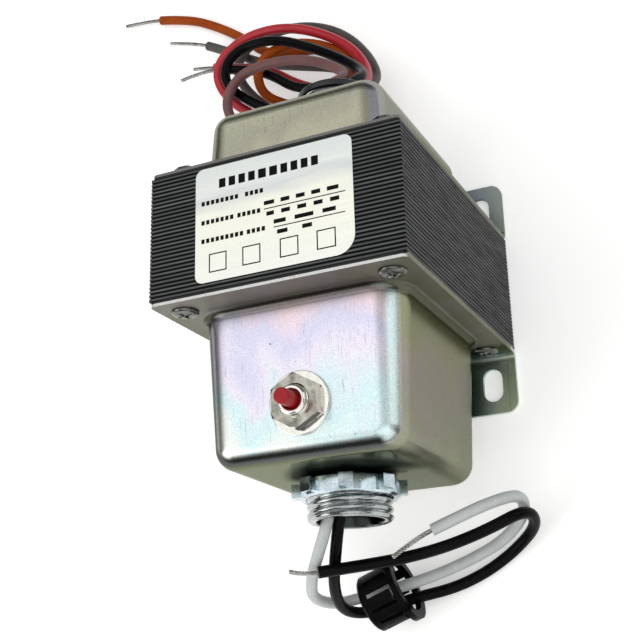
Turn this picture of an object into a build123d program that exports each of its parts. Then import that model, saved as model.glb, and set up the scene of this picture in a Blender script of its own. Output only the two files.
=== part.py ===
from build123d import *
from math import cos, radians, sin, tan
import os

# A step-down transformer: a ridged lamination core clamped between two deep-drawn end covers with feet,
# a threaded conduit nipple on each cover, a reset breaker on the secondary cover and seven loose leads.
# Millimetres. +Z is up, the hub axis runs along X, and the origin is the middle of the four foot slots.

# Lamination core: the tongue and the legs run along Y, and the plates are stacked along X
tongue_width = 25.4
leg_width = 12.7
yoke_width = 12.7
window_height = 12.7
window_length = 38.1
plate_pairs = 31
pair_pitch = 1.0
groove_width = 0.3
groove_depth = 0.25
core_lift = 0.6

# End covers, one sheet each with flange, bell and foot
sheet = 1.2
primary_bell_inset_side = 7.7
primary_bell_inset_top = 8.7
primary_bell_corner = 7.0
primary_bell_depth = 19.3
primary_draft = 4.4
secondary_bell_inset_side = 6.35
secondary_bell_inset_top = 10.1
secondary_bell_corner = 8.0
secondary_bell_depth = 36.3
secondary_draft = 3.3
bell_end_radius = 5.0
bell_root_radius = 2.0
flange_corner = 1.5
foot_reach = 16.7
foot_corner = 3.0
foot_bend = 1.5
slot_width = 5.3
slot_length = 8.75
slot_from_core = 9.1
slot_inset_side = 6.35

# Clamp screws and their nuts
screw_diameter = 3.5
screw_clearance = 0.25
screw_head_diameter = 6.4
screw_head_height = 2.2
screw_head_crown = 0.7
screw_past_nut = 1.0
nut_across_flats = 6.35
nut_thickness = 2.4
thread_clearance = 0.05

# Conduit nipples, their locknuts and the insulating bushing
nipple_diameter = 20.4
nipple_bore = 15.8
primary_nipple_reach = 12.1
secondary_nipple_reach = 10.4
nipple_chamfer = 0.6
nipple_neck_relief = 0.3
nipple_collar_diameter = 26.0
nipple_collar_thickness = 2.5
hub_clearance = 0.2
locknut_diameter = 23.8
locknut_thickness = 4.0
locknut_over_lugs = 27.2
lug_count = 8
lug_width = 3.4
lug_thickness = 3.2
insulator_wall = 0.55
insulator_clearance = 0.05
insulator_flange = 2.0
insulator_depth = 5.0
insulator_edge = 0.8
insulator_flare = 1.2

# Coil: a split bobbin with two windings and their tape
bobbin_clearance = 0.2
bobbin_wall = 1.2
coil_clearance = 0.4
coil_overhang = 12.7
flange_proud = 0.2
tape_thickness = 0.3
winding_corner = 5.0

# Reset breaker on the top wall of the secondary bell
breaker_from_end = 11.8
breaker_side = -0.7
breaker_length = 12.0
breaker_width = 20.0
breaker_height = 20.0
breaker_corner = 1.0
washer_diameter = 14.5
washer_thickness = 0.9
breaker_nut_across_flats = 11.1
breaker_nut_thickness = 2.2
bushing_diameter = 7.0
bushing_height = 5.1
bushing_chamfer = 0.45
bushing_clearance = 0.1
button_diameter = 3.6
button_clearance = 0.15
button_above_bushing = 4.2
button_edge = 0.4
button_collar_diameter = 5.0
button_collar_thickness = 1.5
button_pop_out = 3.5
button_push_in = 1.0
button_stop_gap = 0.3
terminal_width = 4.8
terminal_thickness = 0.8
terminal_length = 6.5
terminal_from_edge = 1.0

# Rating label
label_width = 39.7
label_margin = 1.3
label_thickness = 0.15
label_corner = 2.0
label_shift_x = 0.7
label_shift_y = -0.4

# Leads and the snap bushing that rides on the secondary pair
lead_diameter = 2.9
strand_diameter = 1.2
strand_straight = 4.0
arc_share = 0.45
snap_middle = (-77.0, 3.4, 8.9)
snap_direction = (0.36, -0.933, 0.0)
snap_first_finger = (-0.22, -0.085, 0.972)
snap_flange_diameter = 17.4
snap_flange_thickness = 1.6
snap_body_diameter = 14.6
snap_bore = 12.8
snap_length = 10.8
snap_edge = 0.5
snap_end_ring = 1.9
snap_finger_count = 6
snap_finger_width = 3.0
snap_slot_width = 0.9
snap_barb = 0.4

# How near an edge lies to a plane to count as in it
edge_tolerance = 0.01

# Routes of the leads, from the coil or the breaker to the end of the insulation
lead_routes = {
    "primary_red": [
        (28.5, -6.5, 36.5), (39.5, -5.0, 36.5), (51.0, -4.5, 35.5), (61.0, -5.0, 25.5),
        (74.0, 1.0, 22.5), (84.5, 13.0, 20.5), (90.5, 25.0, 19.0), (92.0, 36.0, 18.0),
        (89.5, 44.5, 17.5), (84.0, 49.5, 17.5), (77.0, 49.0, 17.0), (69.5, 43.5, 17.0),
        (64.5, 36.5, 16.0), (56.5, 29.5, 15.0), (51.0, 20.5, 14.0), (51.5, 10.5, 13.5),
        (59.5, 6.0, 12.5), (67.5, 11.5, 12.0), (73.0, 23.5, 11.5), (81.0, 33.0, 11.5),
        (85.0, 43.0, 11.5), (88.0, 53.0, 11.0)],
    "primary_black": [
        (28.5, -5.0, 42.5), (39.5, -5.0, 41.5), (51.0, -4.5, 40.5), (56.5, -7.0, 33.5),
        (66.0, 1.5, 29.0), (76.0, 13.0, 25.5), (84.0, 25.0, 23.0), (86.5, 35.0, 21.0),
        (85.0, 41.5, 20.5), (80.5, 45.0, 20.5), (74.0, 44.0, 20.5), (68.0, 37.5, 20.0),
        (61.0, 27.5, 19.0), (53.5, 20.5, 18.0), (50.5, 11.0, 17.5), (54.5, 2.5, 16.5),
        (63.5, 2.5, 16.0), (68.0, 11.5, 15.5), (69.5, 22.5, 15.0), (78.0, 32.0, 14.5),
        (82.5, 41.5, 14.5), (85.0, 51.0, 14.0)],
    "primary_brown": [
        (28.5, 6.0, 42.5), (39.5, 3.5, 42.0), (51.0, 2.0, 42.0), (56.5, -3.0, 35.0),
        (65.5, 6.5, 31.0), (71.0, 17.0, 28.5), (73.5, 27.0, 26.5), (73.5, 35.5, 25.0),
        (70.0, 40.5, 24.0), (64.5, 42.0, 23.5), (58.0, 39.0, 23.0), (51.5, 32.0, 22.5),
        (46.5, 22.0, 22.0), (46.0, 11.5, 21.5)],
    "primary_orange": [
        (28.5, 5.0, 34.5), (39.5, 4.0, 35.5), (51.0, 4.0, 35.5), (66.5, -0.5, 21.5),
        (77.0, 8.5, 20.0), (82.5, 19.0, 19.0), (83.5, 27.0, 18.5), (81.0, 32.5, 18.5),
        (76.0, 35.0, 17.5), (71.0, 34.0, 14.5), (68.5, 28.5, 10.5), (64.5, 17.5, 6.0),
        (66.0, 7.5, 3.5), (75.0, 2.0, 1.6), (86.0, 5.0, 1.6), (93.0, 16.5, 1.6),
        (93.0, 38.5, 1.6), (102.5, 48.0, 1.6), (110.0, 58.0, 1.6), (116.0, 68.5, 1.6),
        (119.0, 79.5, 1.6)],
    "primary_gray": [
        (28.8, 0.5, 32.0), (39.5, 1.0, 33.5), (51.0, 0.0, 33.5), (61.0, -6.0, 20.5),
        (71.0, -3.5, 18.0), (84.5, 5.5, 15.5), (93.5, 18.5, 13.0), (97.0, 32.0, 10.5),
        (95.5, 42.0, 9.0), (91.0, 47.0, 8.0), (84.5, 47.0, 7.5), (76.5, 42.0, 7.5),
        (66.0, 31.0, 7.5), (59.5, 22.0, 7.5), (61.0, 11.5, 7.5), (69.5, 5.5, 7.0),
        (78.5, 10.5, 6.0), (84.5, 27.5, 5.0), (88.5, 39.0, 5.0), (96.0, 50.0, 4.5),
        (101.5, 59.5, 4.5)],
    "secondary_white": [
        (-28.5, 7.5, 33.0), (-36.5, 6.5, 32.5), (-45.0, 5.0, 34.5), (-54.0, 4.5, 37.5),
        (-63.0, 5.5, 38.5), (-69.5, 10.0, 35.0), (-74.0, 16.0, 27.5), (-77.5, 20.0, 19.0),
        (-78.5, 17.5, 10.5), (-76.5, 9.5, 7.5), (-75.0, 0.5, 7.5), (-72.5, -8.5, 5.5),
        (-68.5, -18.0, 4.0), (-64.0, -27.5, 4.5), (-58.5, -34.5, 8.5), (-55.0, -35.5, 15.0),
        (-57.5, -29.5, 20.5), (-61.0, -22.0, 23.0), (-64.5, -14.5, 24.0)],
    "secondary_black": [
        (-45.3, -1.0, 39.5), (-53.5, 0.5, 37.5), (-63.0, 2.5, 37.0), (-69.5, 7.0, 32.5),
        (-75.5, 11.5, 24.5), (-80.0, 14.0, 15.5), (-81.0, 12.0, 8.0), (-79.5, 5.5, 5.5),
        (-77.5, -3.0, 5.0), (-75.5, -12.0, 2.5), (-71.5, -21.0, 1.6), (-66.0, -29.5, 1.6),
        (-61.5, -37.0, 7.5), (-59.0, -37.0, 16.0), (-64.0, -27.5, 20.0), (-67.5, -17.5, 21.5),
        (-70.5, -8.0, 24.5), (-72.0, 2.0, 28.5), (-73.5, 11.0, 34.0)],
}

# Tips of the bare strands beyond each lead
strand_tips = {
    "primary_red": (90.0, 61.0, 10.5),
    "primary_black": (85.5, 64.0, 13.0),
    "primary_brown": (46.5, 1.0, 20.5),
    "primary_orange": (121.5, 94.0, 1.0),
    "primary_gray": (107.0, 74.0, 4.0),
    "secondary_white": (-73.0, -6.9, 29.5),
    "secondary_black": (-73.0, 17.5, 36.0),
}

# Places that follow from the sizes above
core_depth = plate_pairs * pair_pitch
core_face = core_depth / 2
core_width = window_length + 2 * yoke_width
core_height = tongue_width + 2 * window_height + 2 * leg_width
core_top = core_lift + core_height
axis_height = core_lift + core_height / 2
flange_face = core_face + sheet
primary_bell_half_y = core_width / 2 - primary_bell_inset_side
primary_bell_half_z = core_height / 2 - primary_bell_inset_top
secondary_bell_half_y = core_width / 2 - secondary_bell_inset_side
secondary_bell_half_z = core_height / 2 - secondary_bell_inset_top
primary_end = flange_face + primary_bell_depth
secondary_end = flange_face + secondary_bell_depth
screw_half_y = core_width / 2 - yoke_width / 2
screw_half_z = core_height / 2 - leg_width / 2
screw_hole_radius = screw_diameter / 2 + screw_clearance
opening_half_x = core_face + bobbin_clearance
opening_half_z = tongue_width / 2 + bobbin_clearance
sleeve_half_x = opening_half_x + bobbin_wall
sleeve_half_z = opening_half_z + bobbin_wall
bobbin_length = window_length - 2 * bobbin_clearance
section_length = (bobbin_length - 3 * bobbin_wall) / 2
section_middle = (section_length + bobbin_wall) / 2
tape_half_x = core_face + coil_overhang
tape_half_z = tongue_width / 2 + window_height - coil_clearance - flange_proud

# Planes: the core's and the coil's mid sections, the bell ends and the breaker's seat on the drafted wall
core_section = Plane(origin=(0, 0, axis_height), x_dir=(0, 1, 0), z_dir=(1, 0, 0))
coil_plane = Plane(origin=(0, 0, axis_height), x_dir=(1, 0, 0), z_dir=(0, -1, 0))
primary_hub = core_section.offset(primary_end)
secondary_hub = Plane(origin=(-secondary_end, 0, axis_height), x_dir=(0, -1, 0), z_dir=(-1, 0, 0))
breaker_depth = secondary_bell_depth - breaker_from_end
breaker_seat = Plane(
    origin=(
        -flange_face - breaker_depth,
        breaker_side,
        axis_height + secondary_bell_half_z - breaker_depth * tan(radians(secondary_draft)),
    ),
    x_dir=(cos(radians(secondary_draft)), 0, sin(radians(secondary_draft))),
    z_dir=(-sin(radians(secondary_draft)), 0, cos(radians(secondary_draft))),
)
breaker_wall = sheet * cos(radians(secondary_draft))
head_face = Plane(origin=(-flange_face, 0, axis_height), x_dir=(0, -1, 0), z_dir=(-1, 0, 0))
screw_places = GridLocations(2 * screw_half_y, 2 * screw_half_z, 2, 2)
slot_places = GridLocations(0, core_width - 2 * slot_inset_side, 1, 2)


def turned(*profile):
    """Solid of revolution about Z through (radius, height) points."""
    outline = Polyline(*[(radius, 0, height) for radius, height in profile], close=True)
    return revolve(make_face(outline), Axis.Z)


def hexagon(across_flats):
    """Hexagon with its flats at the given distance."""
    return RegularPolygon(across_flats / 2, 6, major_radius=False)


# Core


def ridged(stack):
    """Lamination stack with a groove round its outline between each two plate pairs."""
    rim = Rectangle(core_width, core_height) - Rectangle(
        core_width - 2 * groove_depth, core_height - 2 * groove_depth
    )
    first = core_section.offset(-core_face - groove_width / 2)
    grooves = [
        extrude(first.offset(number * pair_pitch) * rim, groove_width) for number in range(1, plate_pairs)
    ]
    return stack - grooves


def plate_outline():
    """Whole rectangle of a plate set with its four screw holes."""
    return Rectangle(core_width, core_height) - screw_places * Circle(screw_hole_radius)


def e_laminations():
    """Three-legged stack: spine at +Y, tongue and outer legs towards -Y."""
    window = Rectangle(window_length + yoke_width, window_height)
    window_shift = (tongue_width + window_height) / 2
    windows = [Pos(-yoke_width / 2, side * window_shift) * window for side in (-1, 1)]
    bar = Pos(-(core_width - yoke_width) / 2) * Rectangle(yoke_width, core_height)
    outline = plate_outline() - windows - bar
    return ridged(extrude(core_section * outline, core_face, both=True))


def i_laminations():
    """Plain bar stack that closes the legs at -Y."""
    bar = Pos(-(core_width - yoke_width) / 2) * Rectangle(yoke_width, core_height)
    return ridged(extrude(core_section * (plate_outline() & bar), core_face, both=True))


# Coil, wound round the tongue along Y


def coil_section(half_x, half_z, corner=0.0):
    """Rectangle round the tongue, in a plane across Y."""
    if corner:
        return RectangleRounded(2 * half_x, 2 * half_z, corner)
    return Rectangle(2 * half_x, 2 * half_z)


def bobbin():
    """Rectangular sleeve with a flange at each end and one between the windings."""
    opening = coil_section(opening_half_x, opening_half_z)
    wall = coil_section(sleeve_half_x, sleeve_half_z) - opening
    sleeve = extrude(coil_plane * wall, bobbin_length / 2, both=True)
    flange_rounding = winding_corner + tape_thickness + flange_proud
    flange = coil_section(tape_half_x + flange_proud, tape_half_z + flange_proud, flange_rounding) - opening
    pitch = section_length + bobbin_wall
    for place in (-pitch, 0, pitch):
        sleeve += extrude(coil_plane.offset(place) * flange, bobbin_wall / 2, both=True)
    return sleeve


def coil_ring(place, inner_half_x, inner_half_z, outer_half_x, outer_half_z, inner_corner, outer_corner):
    """Ring round the bobbin's sleeve that fills one section."""
    outer = coil_section(outer_half_x, outer_half_z, outer_corner)
    inner = coil_section(inner_half_x, inner_half_z, inner_corner)
    return extrude(coil_plane.offset(place) * (outer - inner), section_length / 2, both=True)


def winding(place):
    """Wound wire between two flanges."""
    half_x = tape_half_x - tape_thickness
    half_z = tape_half_z - tape_thickness
    return coil_ring(place, sleeve_half_x, sleeve_half_z, half_x, half_z, 0.0, winding_corner)


def tape(place):
    """Tape wrapped over a winding."""
    half_x = tape_half_x - tape_thickness
    half_z = tape_half_z - tape_thickness
    tape_corner = winding_corner + tape_thickness
    return coil_ring(place, half_x, half_z, tape_half_x, tape_half_z, winding_corner, tape_corner)


# End covers, modelled on the +X side


def bell_form(half_y, half_z, corner, depth, draft, inset=0.0):
    """Drafted round-cornered box from the core face to the bell's end, or its inside."""
    growth = sheet * tan(radians(draft)) - inset
    outline = RectangleRounded(2 * (half_y + growth), 2 * (half_z + growth), corner - inset)
    form = extrude(core_section.offset(core_face) * outline, sheet + depth - inset, taper=draft)
    end_edges = form.faces().sort_by(Axis.X)[-1].edges()
    return fillet(end_edges, bell_end_radius - inset)


def outline_edges(cover, place, half_y, half_z):
    """Edges of the bell's outline in the flange face across X at the given place."""
    return cover.edges().filter_by(
        lambda edge: abs(edge.bounding_box().min.X - place) < edge_tolerance
        and abs(edge.bounding_box().max.X - place) < edge_tolerance
        and abs(edge.center().Y) < half_y + edge_tolerance
        and abs(edge.center().Z - axis_height) < half_z + edge_tolerance
    )


def flange_and_foot():
    """Flat flange against the core, bent outwards into the foot."""
    profile = Polyline(
        (core_face, 0, 0),
        (core_face + foot_reach, 0, 0),
        (core_face + foot_reach, 0, sheet),
        (flange_face, 0, sheet),
        (flange_face, 0, core_top),
        (core_face, 0, core_top),
        close=True,
    )
    plate = extrude(make_face(profile), core_width / 2, both=True)
    outer_bend = plate.edges().filter_by(Axis.Y).sort_by_distance((core_face, 0, 0))[0]
    plate = fillet(outer_bend, foot_bend + sheet)
    inner_bend = plate.edges().filter_by(Axis.Y).sort_by_distance((flange_face, 0, sheet))[0]
    plate = fillet(inner_bend, foot_bend)
    plate = fillet(plate.edges().filter_by(Axis.X).group_by(Axis.Z)[-1], flange_corner)
    return fillet(plate.edges().filter_by(Axis.Z).group_by(Axis.X)[-1], foot_corner)


def end_cover(half_y, half_z, corner, depth, draft):
    """One drawn sheet: flange, foot and bell, with hub hole, screw holes and foot slots."""
    cover = flange_and_foot() + bell_form(half_y, half_z, corner, depth, draft)
    cover = fillet(outline_edges(cover, flange_face, half_y, half_z), bell_root_radius)
    cover -= bell_form(half_y, half_z, corner, depth, draft, sheet)
    cover = fillet(outline_edges(cover, core_face, half_y, half_z), bell_root_radius + sheet)
    cover -= extrude(core_section.offset(flange_face) * Circle(nipple_diameter / 2 + hub_clearance), depth)
    screw_holes = Sketch() + screw_places * Circle(screw_hole_radius)
    cover -= extrude(core_section * screw_holes, flange_face)
    slots = Sketch() + slot_places * SlotOverall(slot_length, slot_width)
    return cover - extrude(Pos(core_face + slot_from_core) * slots, sheet)


def primary_cover():
    """Shallow cover on the +X side."""
    return end_cover(
        primary_bell_half_y, primary_bell_half_z, primary_bell_corner, primary_bell_depth, primary_draft
    )


def secondary_cover():
    """Deep cover on the -X side, with the breaker's hole."""
    cover = Rot(Z=180) * end_cover(
        secondary_bell_half_y,
        secondary_bell_half_z,
        secondary_bell_corner,
        secondary_bell_depth,
        secondary_draft,
    )
    hole = Circle(bushing_diameter / 2 + bushing_clearance)
    return cover - extrude(breaker_seat * hole, 2 * sheet, both=True)


# Clamp screws through both covers, with the heads on the secondary side


def clamp_screws():
    """Four pan-head screws."""
    radius = screw_diameter / 2
    head_radius = screw_head_diameter / 2
    tail = -2 * flange_face - nut_thickness - screw_past_nut
    screw = turned(
        (0, tail),
        (radius, tail),
        (radius, 0),
        (head_radius, 0),
        (head_radius, screw_head_height - screw_head_crown),
        (head_radius - screw_head_crown, screw_head_height),
        (0, screw_head_height),
    )
    return Compound([head_face * place * screw for place in screw_places])


def clamp_nuts():
    """Four hexagon nuts on the primary flange."""
    outline = hexagon(nut_across_flats) - Circle(screw_diameter / 2 + thread_clearance)
    nut = extrude(outline, nut_thickness)
    return Compound([core_section.offset(flange_face) * place * nut for place in screw_places])


# Conduit hubs


def nipple(reach):
    """Sleeve that stands out of a bell's end: collar behind the sheet, neck in the locknut, free end."""
    bore = nipple_bore / 2
    radius = nipple_diameter / 2
    collar = nipple_collar_diameter / 2
    return turned(
        (bore, -sheet - nipple_collar_thickness),
        (collar, -sheet - nipple_collar_thickness),
        (collar, -sheet),
        (radius - nipple_neck_relief, -sheet),
        (radius - nipple_neck_relief, locknut_thickness),
        (radius, locknut_thickness),
        (radius, reach - nipple_chamfer),
        (radius - nipple_chamfer, reach),
        (bore, reach),
    )


def locknut():
    """Ring with square lugs, flush on the side that bears on the bell."""
    bore = Circle(nipple_diameter / 2 + thread_clearance)
    ring = extrude(Circle(locknut_diameter / 2) - bore, locknut_thickness)
    lug = Pos(locknut_over_lugs / 4) * Rectangle(locknut_over_lugs / 2, lug_width)
    lugs = [Rot(Z=number * 360 / lug_count) * lug for number in range(lug_count)]
    return ring + extrude(Sketch() + lugs - bore, lug_thickness)


def insulator():
    """Throat bushing that lines the mouth of the primary nipple."""
    outer = nipple_bore / 2 - insulator_clearance
    inner = outer - insulator_wall
    flange = nipple_diameter / 2
    seat = primary_nipple_reach
    return turned(
        (inner, seat - insulator_depth),
        (outer, seat - insulator_depth),
        (outer, seat),
        (flange, seat),
        (flange, seat + insulator_flange - insulator_edge),
        (flange - insulator_edge, seat + insulator_flange),
        (inner + insulator_flare, seat + insulator_flange),
        (inner, seat + insulator_flange - insulator_flare),
    )


# Reset breaker, built on its seat: heights are measured from the outside of the bell's wall


def breaker_body():
    """Moulded case behind the wall, with the cavity that the button's collar travels in."""
    under_wall = breaker_seat.offset(-breaker_wall)
    outline = RectangleRounded(breaker_length, breaker_width, breaker_corner)
    case = extrude(under_wall * outline, -breaker_height)
    cavity = Circle(button_collar_diameter / 2 + button_clearance)
    depth = button_pop_out + button_collar_thickness + button_push_in + 2 * button_stop_gap
    return case - extrude(under_wall * cavity, -depth)


def breaker_bushing():
    """Threaded bushing through the wall, with a rounded rim."""
    bore = button_diameter / 2 + button_clearance
    radius = bushing_diameter / 2
    return breaker_seat * turned(
        (bore, -breaker_wall),
        (radius, -breaker_wall),
        (radius, bushing_height - bushing_chamfer),
        (radius - bushing_chamfer, bushing_height),
        (bore, bushing_height),
    )


def breaker_washer():
    """Flat washer on the bell's wall."""
    ring = Circle(washer_diameter / 2) - Circle(bushing_diameter / 2 + bushing_clearance)
    return breaker_seat * extrude(ring, washer_thickness)


def breaker_nut():
    """Hexagon nut on the washer, with a corner along the hub axis."""
    outline = hexagon(breaker_nut_across_flats) - Circle(bushing_diameter / 2 + thread_clearance)
    return breaker_seat.offset(washer_thickness) * extrude(outline, breaker_nut_thickness)


def breaker_button():
    """Push button with the collar that keeps it in the breaker."""
    radius = button_diameter / 2
    collar = button_collar_diameter / 2
    collar_top = -breaker_wall - button_stop_gap - button_pop_out
    tip = bushing_height + button_above_bushing
    return breaker_seat * turned(
        (0, collar_top - button_collar_thickness),
        (collar, collar_top - button_collar_thickness),
        (collar, collar_top),
        (radius, collar_top),
        (radius, tip - button_edge),
        (radius - button_edge, tip),
        (0, tip),
    )


def breaker_terminals():
    """Two blades under the breaker's case."""
    pitch = breaker_length - 2 * terminal_from_edge - terminal_thickness
    blade = extrude(Rectangle(terminal_thickness, terminal_width), -terminal_length)
    root = breaker_seat.offset(-breaker_wall - breaker_height)
    return Compound([root * place * blade for place in GridLocations(pitch, 0, 2, 1)])


def rating_label():
    """Foil label on the top of the core."""
    outline = RectangleRounded(core_depth - 2 * label_margin, label_width, label_corner)
    return extrude(Pos(label_shift_x, label_shift_y, core_top) * outline, label_thickness)


# Leads


def rounded_route(points):
    """Straight runs joined by tangent arcs, each as large as its runs allow, and the arcs' radii."""
    corners = [Vector(point) for point in points]
    radii = []
    for before, corner, after in zip(corners, corners[1:], corners[2:]):
        run_in = corner - before
        run_out = after - corner
        half_turn = radians(run_in.get_angle(run_out)) / 2
        radii.append(arc_share * min(run_in.length, run_out.length) / tan(half_turn))
    return FilletPolyline(*corners, radius=radii), radii


def tube(name, points, diameter):
    """Round tube along a route, with a printed note of its length, volume and tightest arcs."""
    route, radii = rounded_route(points)
    start = Plane(origin=points[0], z_dir=Vector(points[1]) - Vector(points[0]))
    section = Circle(diameter / 2)
    solid = sweep(start * section, path=route)
    share = solid.volume / (section.area * route.length)
    rounded = [round(radius, 1) for radius in radii]
    print(name, f"length {route.length:.1f} volume share {share:.4f} radii", rounded)
    return solid


def strand_route(points, tip):
    """Bare end: straight out of the insulation, then to its tip."""
    end = Vector(points[-1])
    direction = (end - Vector(points[-2])).normalized()
    return [end, end + direction * strand_straight, Vector(tip)]


def snap_bushing():
    """Flanged bushing with barbed fingers cut free by U-shaped slots, loose on the secondary leads."""
    bore = snap_bore / 2
    body = snap_body_diameter / 2
    flange = snap_flange_diameter / 2
    under_flange = snap_length - snap_flange_thickness
    finger_end = under_flange - snap_slot_width
    shape = turned(
        (bore, 0),
        (body - snap_edge, 0),
        (body, snap_edge),
        (body, under_flange),
        (flange, under_flange),
        (flange, snap_length),
        (bore, snap_length),
    )
    barb_root = (bore + body) / 2
    barb_ring = turned(
        (barb_root, snap_end_ring),
        (body, snap_end_ring),
        (body + snap_barb, finger_end),
        (barb_root, finger_end),
    )
    outwards = Plane(origin=(0, 0, 0), x_dir=(0, 1, 0), z_dir=(1, 0, 0))
    window_width = snap_finger_width + 2 * snap_slot_width
    window_middle = (snap_end_ring + under_flange) / 2
    window = Pos(0, window_middle) * Rectangle(window_width, under_flange - snap_end_ring)
    finger_middle = (snap_end_ring + finger_end) / 2
    finger = Pos(0, finger_middle) * Rectangle(snap_finger_width, finger_end - snap_end_ring)
    slot = extrude(outwards * (window - finger), flange)
    barb = barb_ring & extrude(outwards * finger, flange)
    for number in range(snap_finger_count):
        turn = Rot(Z=number * 360 / snap_finger_count)
        shape = shape - turn * slot + turn * barb
    far_end = Vector(snap_middle) - Vector(snap_direction) * (snap_length / 2)
    return Plane(origin=far_end, x_dir=snap_first_finger, z_dir=snap_direction) * shape


nodes = {
    "e_laminations": e_laminations(),
    "i_laminations": i_laminations(),
    "bobbin": bobbin(),
    "primary_winding": winding(section_middle),
    "secondary_winding": winding(-section_middle),
    "primary_tape": tape(section_middle),
    "secondary_tape": tape(-section_middle),
    "primary_cover": primary_cover(),
    "secondary_cover": secondary_cover(),
    "clamp_screws": clamp_screws(),
    "clamp_nuts": clamp_nuts(),
    "primary_nipple": primary_hub * nipple(primary_nipple_reach),
    "primary_locknut": primary_hub * locknut(),
    "primary_insulator": primary_hub * insulator(),
    "secondary_nipple": secondary_hub * nipple(secondary_nipple_reach),
    "secondary_locknut": secondary_hub * locknut(),
    "breaker_body": breaker_body(),
    "breaker_bushing": breaker_bushing(),
    "breaker_washer": breaker_washer(),
    "breaker_nut": breaker_nut(),
    "breaker_button": breaker_button(),
    "breaker_terminals": breaker_terminals(),
    "rating_label": rating_label(),
    "snap_bushing": snap_bushing(),
}
for name, points in lead_routes.items():
    bare_end = strand_route(points, strand_tips[name])
    nodes[name + "_lead"] = tube(name, points, lead_diameter)
    nodes[name + "_strands"] = tube(name + " strands", bare_end, strand_diameter)

os.makedirs("parts", exist_ok=True)
for name, shape in nodes.items():
    export_step(shape, "parts/" + name + ".step")
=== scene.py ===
import random
from math import asin, atan2, cos, hypot, pi, radians, sin, sqrt, tau

import bmesh
import bpy
from mathutils import Matrix, Vector


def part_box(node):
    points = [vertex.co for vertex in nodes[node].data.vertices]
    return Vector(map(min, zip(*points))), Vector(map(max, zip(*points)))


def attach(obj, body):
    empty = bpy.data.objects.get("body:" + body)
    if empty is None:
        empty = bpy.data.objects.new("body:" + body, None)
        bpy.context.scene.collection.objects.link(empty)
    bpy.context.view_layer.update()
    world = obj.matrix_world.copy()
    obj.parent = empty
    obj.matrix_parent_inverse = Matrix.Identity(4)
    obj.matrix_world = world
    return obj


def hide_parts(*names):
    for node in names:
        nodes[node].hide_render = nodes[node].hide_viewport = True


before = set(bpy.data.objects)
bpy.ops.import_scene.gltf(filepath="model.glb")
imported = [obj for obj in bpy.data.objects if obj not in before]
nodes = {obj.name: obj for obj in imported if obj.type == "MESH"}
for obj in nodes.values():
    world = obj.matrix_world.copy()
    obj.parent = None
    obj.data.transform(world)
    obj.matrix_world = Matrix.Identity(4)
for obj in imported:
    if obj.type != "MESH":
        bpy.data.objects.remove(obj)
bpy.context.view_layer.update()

scene = bpy.context.scene
scene.view_settings.view_transform = "Standard"
draw = random.Random(7)
MM = 0.001

# Camera, at the photograph's place. The image is square.

camera_data = bpy.data.cameras.new("camera")
camera_data.sensor_width = 36.0
camera_data.lens = 67.29
camera_data.clip_start = 0.01
camera_data.clip_end = 20.0
camera = bpy.data.objects.new("camera", camera_data)
camera_place = Vector((-111.98, -112.32, 292.59)) * MM
camera_right = Vector((-0.02655, -0.90141, -0.43216))
camera_up = Vector((0.94188, -0.16739, 0.29127))
camera_back = Vector((-0.33489, -0.39931, 0.85346))
camera_turn = Matrix((camera_right, camera_up, camera_back)).transposed()
camera.matrix_world = Matrix.Translation(camera_place) @ camera_turn.to_4x4()
scene.collection.objects.link(camera)
scene.camera = camera

# Sizes that several sections share, in millimetres

axis_height = 38.7
flange_face = 16.7
secondary_end = -53.0
primary_end = 36.0
nipple_radius = 10.2
nipple_bore = 7.9
secondary_lift = 1.3

# Routes of the leads, in millimetres, from the coil or the breaker to the end of the insulation

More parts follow.
